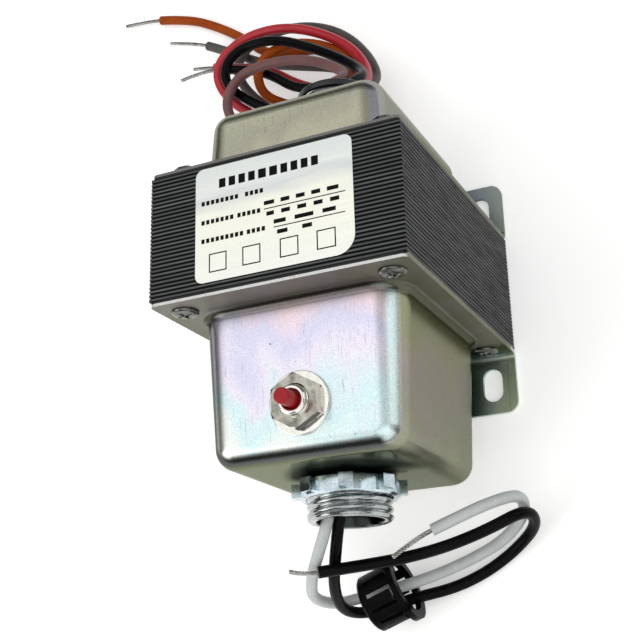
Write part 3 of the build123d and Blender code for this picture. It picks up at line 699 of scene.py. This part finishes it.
def nipple(name, place, reach, replaced):
    """Threaded sleeve with a rounded end."""
    mesh = bmesh.new()
    neck = nipple_radius - nipple_relief
    low = locknut_thickness - thread_in_locknut
    high = reach - nipple_edge
    profile = [(nipple_bore, nipple_inside), (nipple_collar, nipple_inside), (nipple_collar, -cover_sheet)]
    profile += [(neck, -cover_sheet), (neck, low - 0.1)]
    profile += [(nipple_radius, height) for height in rows_between(low, high, thread_rows)]
    profile += arc(nipple_radius - nipple_edge - nipple_edge_step, high, nipple_edge, 0, pi / 2, 6)[1:]
    profile += [(nipple_bore + mouth_round, reach), (nipple_bore + mouth_step, reach - mouth_step)]
    profile += [(nipple_bore, reach - mouth_round)]
    turned(mesh, place, profile, 128, True, thread(thread_pitch, thread_depth, low, high, thread_fade))
    return piece(name, mesh, "zinc_nipple", [replaced], sharp=50)


nipple("secondary_thread", secondary_hub, secondary_reach, "secondary_nipple")
nipple("primary_thread", primary_hub, primary_reach, "primary_nipple")

mouth_outer = nipple_bore - 0.05
mouth_inner = mouth_outer - 0.55
mouth_depth = 5.0
mouth_top = primary_reach + 2.0
mouth_edge = 0.8
mouth_flare = 1.2


def mouth_ring():
    """Plastic ring in the primary nipple's mouth, with a flared bore and a rounded rim."""
    mesh = bmesh.new()
    foot = primary_reach - mouth_depth
    profile = [(mouth_inner, foot), (mouth_outer, foot)]
    profile += [(mouth_outer, primary_reach), (nipple_radius, primary_reach)]
    profile += arc(nipple_radius - mouth_edge, mouth_top - mouth_edge, mouth_edge, 0, pi / 2, 6)
    profile += arc(mouth_inner + mouth_flare, mouth_top - mouth_flare, mouth_flare, pi / 2, pi, 6)
    turned(mesh, primary_hub, profile)
    piece("primary_mouth_ring", mesh, "black_plastic", ["primary_insulator"], sharp=50)


mouth_ring()

locknut_radius = 11.9
locknut_bore = 10.25
locknut_neck = 11.2
locknut_cone_width = 0.75
locknut_cone_height = 0.45
locknut_bore_edge = 0.3
locknut_foot_edge = 0.35
lug_reach = 13.6
lug_half = 1.7
lug_thickness = 3.2
lug_count = 8
lug_slope = 0.02
steps_between_lugs = 8
primary_lift = 0.3
secondary_turn = -20.3
primary_turn = 0.0


def locknut_rows(out, lift):
    """Section of the locknut where it reaches out to a radius."""
    top = lift + locknut_thickness
    shoulder = lift + lug_thickness
    return [
        (locknut_bore, locknut_foot_edge),
        (locknut_bore + locknut_foot_edge, 0.0),
        (locknut_neck, 0.0),
        (locknut_neck, lift),
        (out, lift + lug_slope),
        (out, shoulder),
        (locknut_radius, shoulder + lug_slope),
        (locknut_radius, top - locknut_cone_height),
        (locknut_radius - locknut_cone_width, top),
        (locknut_bore + locknut_bore_edge, top),
        (locknut_bore, top - locknut_bore_edge),
    ]


def locknut(name, place, replaced, lift, turn):
    """Ring with square lugs and a coned outer face, on a narrower neck that lifts it off the cover."""
    mesh = bmesh.new()
    root = asin(lug_half / locknut_radius)
    tip = atan2(lug_half, lug_reach)
    between = tau / lug_count - 2 * root
    around = [-root, -tip, 0.0, tip, root]
    around += [root + between * step / steps_between_lugs for step in range(1, steps_between_lugs)]
    columns = []
    for lug in range(lug_count):
        middle = radians(turn) + tau * lug / lug_count
        for angle in around:
            out = lug_reach / cos(angle) if abs(angle) <= tip + 1e-9 else locknut_radius
            columns.append((middle + angle, locknut_rows(out, lift)))
    polar(mesh, place, columns)
    return soften(piece(name, mesh, "zinc_hub", [replaced], sharp=25), 0.2, 2, 32)


locknut("secondary_ring", secondary_hub, "secondary_locknut", secondary_lift, secondary_turn)
locknut("primary_ring", primary_hub, "primary_locknut", primary_lift, primary_turn)

# Reset breaker: washer, hexagon nut, threaded bushing and the button that slides in it

seat_tilt = radians(3.3)
seat_place = (-41.2, -0.7, 65.287)
breaker_seat = plane(seat_place, (cos(seat_tilt), 0, sin(seat_tilt)), (-sin(seat_tilt), 0, cos(seat_tilt)))
washer_radius = 7.25
washer_thickness = 0.9
washer_edge = 0.18
breaker_nut_flats = 11.1
breaker_nut_thickness = 2.6
bushing_radius = 3.5
bushing_bore = 1.95
bushing_mouth = 2.1
bushing_tail = -1.19
bushing_thread = (3.15, 4.2)
bushing_pitch = 0.7
bushing_thread_depth = 0.28
bushing_fade = 0.15
bushing_rows = 0.07
bushing_lip_middle = 2.75
bushing_lip_height = 4.45
bushing_lip_radius = 0.65
button_radius = 1.8
button_tip = 9.8
button_edge = 0.35
button_dome = 0.1
button_collar_radius = 2.5
button_collar_bottom = -6.5
button_collar_top = -5.0

# Hexagon nuts: crown as a share of half the width across flats, slope of its cone, edges of the bore
nut_crown = 1.06
nut_cone = 0.4
nut_countersink = 0.3
nut_foot_edge = 0.25
nut_segments = 72


def rounded_ring(inner, outer, low, high, edge):
    """Profile of a ring with rounded edges."""
    profile = arc(outer - edge, low + edge, edge, -pi / 2, 0, 3)
    profile += arc(outer - edge, high - edge, edge, 0, pi / 2, 3)
    profile += arc(inner + edge, high - edge, edge, pi / 2, pi, 3)
    profile += arc(inner + edge, low + edge, edge, pi, 3 * pi / 2, 3)
    return profile


def hexagon_nut(mesh, place, flats, bore, low, thickness):
    """Hexagon nut with coned corners on both faces and a countersunk bore."""
    half = flats / 2
    crown = half * nut_crown
    high = low + thickness
    columns = []
    for step in range(nut_segments):
        angle = tau * step / nut_segments
        off = (angle + pi / 6) % (pi / 3) - pi / 6
        out = half / cos(off)
        drop = max(0.0, out - crown) * nut_cone
        near = min(out, crown)
        rows = [(bore, low + nut_foot_edge), (bore + nut_foot_edge, low), (near - nut_countersink, low)]
        rows += [(out, low + nut_countersink + drop), (out, high - drop), (near, high)]
        rows += [(bore + nut_countersink, high), (bore, high - nut_countersink)]
        columns.append((angle, rows))
    polar(mesh, place, columns)


washer_mesh = bmesh.new()
washer_profile = rounded_ring(bushing_radius + 0.1, washer_radius, 0.0, washer_thickness, washer_edge)
turned(washer_mesh, breaker_seat, washer_profile)
piece("breaker_flat_washer", washer_mesh, "nickel", ["breaker_washer"], sharp=50)

nut_mesh = bmesh.new()
nut_place = breaker_seat @ Matrix.Rotation(pi / 6, 4, "Z")
nut_bore = bushing_radius + 0.05
hexagon_nut(nut_mesh, nut_place, breaker_nut_flats, nut_bore, washer_thickness, breaker_nut_thickness)
soften(piece("breaker_hexagon", nut_mesh, "nickel_nut", ["breaker_nut"], sharp=20), 0.24, 2, 25)

bushing_mesh = bmesh.new()
bushing_profile = [(bushing_bore, bushing_tail), (bushing_radius, bushing_tail)]
bushing_profile += [(bushing_radius, bushing_thread[0] - 0.05)]
bushing_profile += [(bushing_radius, height) for height in rows_between(*bushing_thread, bushing_rows)]
bushing_profile += arc(bushing_lip_middle, bushing_lip_height, bushing_lip_radius, 0, pi, 8)
bushing_profile += [(bushing_mouth, 4.0), (bushing_bore, 3.9)]
bushing_cut = thread(bushing_pitch, bushing_thread_depth, *bushing_thread, bushing_fade)
turned(bushing_mesh, breaker_seat, bushing_profile, radius_at=bushing_cut)
piece("breaker_threaded_bushing", bushing_mesh, "nickel", ["breaker_bushing"], sharp=50)

button_mesh = bmesh.new()
button_profile = [(0, button_collar_bottom), (button_collar_radius, button_collar_bottom)]
button_profile += [(button_collar_radius, button_collar_top), (button_radius, button_collar_top)]
button_profile += [(button_radius, button_tip - 1.1)]
button_rim = button_tip - button_edge - button_dome
button_profile += arc(button_radius - button_edge, button_rim, button_edge, 0, pi / 2, 5)[1:]
button_profile += [(0.9, button_tip - 0.04), (0, button_tip)]
turned(button_mesh, breaker_seat, button_profile, 64, False)
piece("reset_button_cap", button_mesh, "button_red", ["breaker_button"], body="button", sharp=40)

# Clamp screws with cross recesses, and their nuts

screw_radius = 1.75
screw_half_y = 25.9
screw_half_z = 31.75
screw_tail = 1.0
screw_rows = 0.1
screw_nut_thickness = 2.4
screw_nut_flats = 6.35
head_radius = 3.2
head_height = 1.25
head_rim = 0.3
screw_pitch = 0.79
screw_thread_depth = 0.22
screw_fade = 0.4
screw_point = 0.35
recess_width = (0.34, 0.50)
recess_reach = (1.35, 1.95)
recess_depth = 0.75
recess_centre = (0.45, 0.9)
recess_centre_depth = 0.9

# Rings of the head, close together at the walls of the recess and at the rim
head_rings = [0, 0.2, 0.34, 0.42, 0.5, 0.6, 0.75, 0.9, 1.05, 1.2, 1.35, 1.5, 1.65, 1.8, 1.95]
head_rings += [2.1, 2.3, 2.5, 2.7, 2.85, 2.97, 3.06, 3.13, 3.18, head_radius]


def step_between(value, low, high):
    """Smooth step from 0 at low to 1 at high."""
    share = min(1.0, max(0.0, (value - low) / (high - low)))
    return share * share * (3 - 2 * share)


def cross_depth(x, y):
    """Depth of the cross recess under the head's crown."""
    depth = 0.0
    for along, across in ((abs(x), abs(y)), (abs(y), abs(x))):
        wide = 1 - step_between(across, *recess_width)
        long = 1 - step_between(along, *recess_reach)
        depth = max(depth, recess_depth * wide * long)
    return max(depth, recess_centre_depth * (1 - step_between(hypot(x, y), *recess_centre)))


def head_top(radius):
    """Height of a low domed head."""
    share = radius / head_radius
    return head_rim + (head_height - head_rim) * sqrt(max(0.0, 1 - share**2.4))


def recessed(radius, height, angle):
    """Height of a point of the screw, lowered where the recess is."""
    if height <= 0:
        return height
    return height - cross_depth(radius * cos(angle), radius * sin(angle))


def screw(mesh, place):
    """Screw from the crown of its head to the end of its thread."""
    nut_seat = -2 * flange_face
    tail = nut_seat - screw_nut_thickness - screw_tail
    profile = [(radius, head_top(radius)) for radius in head_rings]
    profile += [(head_radius, 0.0), (screw_radius, 0.0), (screw_radius, nut_seat + screw_fade)]
    profile += [(screw_radius, height) for height in rows_between(nut_seat, tail, screw_rows)]
    profile += [(screw_radius - screw_point, tail), (0, tail)]
    cut = thread(screw_pitch, screw_thread_depth, tail, nut_seat, screw_fade)
    turned(mesh, place, profile, 96, False, cut, recessed)


screw_mesh = bmesh.new()
screw_nut_mesh = bmesh.new()
for y in (-screw_half_y, screw_half_y):
    for z in (axis_height - screw_half_z, axis_height + screw_half_z):
        turn = draw.uniform(0, pi / 2)
        head_place = plane((-flange_face, y, z), (0, -1, 0), (-1, 0, 0))
        screw(screw_mesh, head_place @ Matrix.Rotation(turn, 4, "Z"))
        nut_place = plane((flange_face, y, z), (0, 1, 0), (1, 0, 0))
        hexagon_nut(screw_nut_mesh, nut_place, screw_nut_flats, screw_radius + 0.05, 0.0, screw_nut_thickness)
piece("cross_recess_screws", screw_mesh, "zinc_screws", ["clamp_screws"], sharp=40)
screw_nuts = piece("screw_hexagons", screw_nut_mesh, "zinc_screws", ["clamp_nuts"], sharp=20)
soften(screw_nuts, 0.1, 1, 25)

# Rating label: film with rounded corners, the one nearest the camera rounder, and plain printed bars

label_low, label_high = (Vector(corner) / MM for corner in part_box("rating_label"))
label_corner = 2.0
label_round_corner = 4.5
label_sink = 0.03
label_top = label_high.z - label_sink
label_film = 0.1
label_columns = 40


def corner_inset(away, corner):
    """How far a rounded corner draws the edge in, at a distance from the label's end."""
    if away >= corner:
        return 0.0
    return corner - sqrt(corner**2 - (corner - away) ** 2)


def label_rows():
    """Places along X, close together in the corners."""
    near = [label_round_corner * (1 - cos(pi / 2 * step / 14)) for step in range(15)]
    far = [label_corner * (1 - cos(pi / 2 * step / 8)) for step in range(9)]
    middle = rows_between(label_low.x + label_round_corner, label_high.x - label_corner, 1.0)
    return [label_low.x + away for away in near[:-1]] + middle + [label_high.x - away for away in far[-2::-1]]


def label_grid(mesh, height):
    """Rows of vertices over the label's outline at a height."""
    grid = []
    for x in label_rows():
        from_low, from_high = x - label_low.x, label_high.x - x
        far_inset = corner_inset(from_high, label_corner)
        y_low = label_low.y + max(corner_inset(from_low, label_round_corner), far_inset)
        y_high = label_high.y - max(corner_inset(from_low, label_corner), far_inset)
        steps = [y_low + (y_high - y_low) * column / label_columns for column in range(label_columns + 1)]
        grid.append([mesh.verts.new((x, y, height)) for y in steps])
    return grid


label_mesh = bmesh.new()
label_grids = [label_grid(label_mesh, height) for height in (label_top - label_film, label_top)]
label_rims = []
for grid in label_grids:
    for low, high in zip(grid, grid[1:]):
        for index in range(label_columns):
            label_mesh.faces.new((low[index], low[index + 1], high[index + 1], high[index]))
    rim = grid[0] + [row[-1] for row in grid[1:-1]] + grid[-1][::-1] + [row[0] for row in grid[-2:0:-1]]
    label_rims.append(rim)
loops_to_faces(label_mesh, label_rims, False)
piece("rating_film", label_mesh, "label_foil", ["rating_label"])

print_mesh = bmesh.new()
print_top = 0.012


def bar(left, top, width, height):
    """Printed bar, placed in millimetres from the label's upper left corner as the camera sees it."""
    y1, y0 = label_high.y - left, label_high.y - left - width
    x1, x0 = label_high.x - top, label_high.x - top - height
    corners = ((x0, y0), (x1, y0), (x1, y1), (x0, y1))
    upper = [print_mesh.verts.new((x, y, label_top + print_top)) for x, y in corners]
    lower = [print_mesh.verts.new(vert.co - Vector((0, 0, 2 * print_top))) for vert in upper]
    loops_to_faces(print_mesh, [lower, upper], False)
    print_mesh.faces.new(upper)
    print_mesh.faces.new(lower[::-1])


def bar_row(left, top, height, widths, gap):
    """Row of bars with gaps between them."""
    for width in widths:
        bar(left, top, width, height)
        left += width + gap


def frame_box(left, top, size, line):
    """Square outline of four bars."""
    bar(left, top, size, line)
    bar(left, top + size - line, size, line)
    bar(left, top + line, line, size - 2 * line)
    bar(left + size - line, top + line, line, size - 2 * line)


bar_row(6.2, 3.4, 2.3, [1.7] * 4 + [2.0] * 2 + [1.7] * 4, 0.85)
bar_rows = [(1.6, 8.3, 8), (13.0, 8.3, 4), (1.6, 13.1, 7), (11.0, 13.1, 5), (1.6, 17.7, 9), (13.4, 17.7, 4)]
for left, top, count in bar_rows:
    bar_row(left, top, 1.1, [0.85] * count, 0.4)
bar_row(17.8, 11.7, 1.0, [2.6, 2.2, 2.2, 2.2, 2.8], 1.6)
bar(17.8, 13.5, 20.0, 0.25)
bar_row(18.4, 14.4, 1.0, [1.9, 2.2, 2.2, 2.2, 2.2], 1.8)
bar_row(20.2, 16.7, 1.0, [3.0, 4.6, 3.2], 2.2)
bar(20.2, 18.4, 17.4, 0.25)
bar_row(21.0, 19.3, 1.0, [2.6, 2.4], 3.6)
for left in (3.6, 12.2, 21.6, 30.6):
    frame_box(left, top=21.6, size=4.6, line=0.3)
piece("label_bars", print_mesh, "label_ink")

# Leads and their bare strands

strand_radius = 0.2
strand_offset = 0.37
strand_count = 6
strand_lay = 5.5
strand_hidden = 0.6


def route_curve(name, points):
    """Smooth line with the route's points as its control points."""
    data = bpy.data.curves.new(name, "CURVE")
    data.dimensions = "3D"
    spline = data.splines.new("NURBS")
    spline.points.add(len(points) - 1)
    for control, point in zip(spline.points, points):
        control.co = (*[value * MM for value in point], 1.0)
    spline.order_u = 3
    spline.use_endpoint_u = True
    spline.resolution_u = 10
    data.resolution_u = 10
    made = bpy.data.objects.new(name, data)
    scene.collection.objects.link(made)
    return made


def line_points(points):
    """Points along a smooth line, read from its curve, in millimetres."""
    guide = route_curve("guide", points)
    data = bpy.data.meshes.new_from_object(guide)
    found = [vert.co / MM for vert in data.vertices]
    bpy.data.objects.remove(guide)
    bpy.data.meshes.remove(data)
    return found


def line_length(line):
    """Length of a line through points."""
    return sum((b - a).length for a, b in zip(line, line[1:]))


def wire(mesh, line, offset, turns, start_angle, radius, sides=8):
    """Thin round wire that winds about a line at an offset."""
    whole = line_length(line)
    side = (line[1] - line[0]).orthogonal().normalized()
    done = 0.0
    rings = []
    for index, point in enumerate(line):
        ahead = line[min(index + 1, len(line) - 1)] - line[max(index - 1, 0)]
        ahead.normalize()
        side = (side - ahead * side.dot(ahead)).normalized()
        other = ahead.cross(side)
        if index:
            done += (point - line[index - 1]).length
        angle = start_angle + tau * turns * done / whole
        centre = point + (side * cos(angle) + other * sin(angle)) * offset
        ring = []
        for step in range(sides):
            around = tau * step / sides
            ring.append(mesh.verts.new(centre + (side * cos(around) + other * sin(around)) * radius))
        rings.append(ring)
    loops_to_faces(mesh, rings, False)
    mesh.faces.new(rings[0][::-1])
    mesh.faces.new(rings[-1])


def strands(name, points, tip):
    """Twisted bundle from the end of the insulation to its tip."""
    end = Vector(points[-1])
    ahead = (end - Vector(points[-2])).normalized()
    line = line_points([end - ahead * strand_hidden, end + ahead * strand_straight, Vector(tip)])
    turns = line_length(line) / strand_lay
    dense = []
    for a, b in zip(line, line[1:]):
        dense += [a.lerp(b, step / 3) for step in range(3)]
    dense.append(line[-1])
    mesh = bmesh.new()
    wire(mesh, dense, 0.0, 0.0, 0.0, strand_radius)
    for number in range(strand_count):
        wire(mesh, dense, strand_offset, turns, tau * number / strand_count, strand_radius)
    return piece(name + "_bundle", mesh, "tinned_strands", [name + "_strands"])


for name, points in lead_routes.items():
    lead = route_curve(name + "_wire", points)
    lead.data.bevel_depth = lead_diameter / 2 * MM
    lead.data.bevel_resolution = 6
    lead.data.use_fill_caps = True
    finish = "lead_" + name.split("_")[1]
    lead.data.materials.append(finishes[finish])
    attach(lead, "housing")
    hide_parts(name + "_lead")
    bundle = strands(name, points, strand_tips[name])

# Floor, sky and lamps, in metres

floor_half = 3.0
floor_level = -0.0001
floor_glow = 0.36
floor_mesh = bmesh.new()
floor_corners = [(-1, -1), (1, -1), (1, 1), (-1, 1)]
floor_verts = [floor_mesh.verts.new((x * floor_half, y * floor_half, floor_level)) for x, y in floor_corners]
floor_mesh.faces.new(floor_verts)
floor_data = bpy.data.meshes.new("floor")
floor_mesh.to_mesh(floor_data)
floor_mesh.free()
floor = bpy.data.objects.new("floor", floor_data)
scene.collection.objects.link(floor)
floor_material, floor_tree, floor_shader = material("floor", Roughness=0.9)
floor_tone = noise(floor_tree, coordinates(floor_tree), 0.01, 2.0)
floor_colour = ramp(floor_tree, floor_tone, [(0.3, (0.93, 0.93, 0.925)), (0.7, (0.95, 0.95, 0.945))])
socket(floor_tree, floor_shader, "Base Color", floor_colour)
rays = add(floor_tree, "LightPath").outputs
seen = maths(floor_tree, "MAXIMUM", rays["Is Camera Ray"], rays["Is Glossy Ray"])
seen = maths(floor_tree, "MAXIMUM", seen, rays["Is Transmission Ray"])
socket(floor_tree, floor_shader, "Emission Color", (1.0, 1.0, 0.99, 1.0))
socket(floor_tree, floor_shader, "Emission Strength", product(floor_tree, seen, floor_glow))
floor_data.materials.append(floor_material)

world = bpy.data.worlds.new("studio")
scene.world = world
world.use_nodes = True
sky = world.node_tree
background = sky.nodes["Background"]
direction = add(sky, "TexCoord").outputs["Generated"]
sky_base = 0.035
sky_patches = [
    ((0.22, 0.38, 0.89), 0.96, 0.70, 0.84),
    ((0.30, -0.88, 0.36), 0.97, 0.80, 0.28),
    ((0, 0, 1), 0.95, 0.25, 0.32),
    ((0.34, -0.42, 0.84), 0.97, 0.80, 0.26),
]


def lobe(towards, near, far, strength):
    """Soft bright patch of sky round a direction, between two cosines."""
    node = add(sky, "VectorMath", {"operation": "DOT_PRODUCT"})
    socket(sky, node, 0, direction)
    node.inputs[1].default_value = Vector(towards).normalized()
    return spread(sky, node.outputs["Value"], far, near, 0.0, strength)


glow = sky_base
for patch in sky_patches:
    glow = maths(sky, "ADD", glow, lobe(*patch))
socket(sky, background, "Color", (1.0, 1.0, 1.0, 1.0))
socket(sky, background, "Strength", glow)


def area_lamp(name, place, size, power, colour):
    """Square lamp that looks at the part."""
    data = bpy.data.lights.new(name, "AREA")
    data.size = size
    data.energy = power
    data.color = colour
    lamp = bpy.data.objects.new(name, data)
    lamp.location = place
    lamp.rotation_euler = (-Vector(place)).to_track_quat("-Z", "Y").to_euler()
    scene.collection.objects.link(lamp)


area_lamp("key", (-0.60, 0.90, 0.70), 0.8, 5.0, (1.0, 0.985, 0.96))
area_lamp("fill", (0.35, -0.95, 0.45), 0.7, 1.25, (0.94, 0.98, 1.0))
area_lamp("front", (-1.2, -0.75, 1.2), 2.2, 15.0, (1.0, 1.0, 1.0))
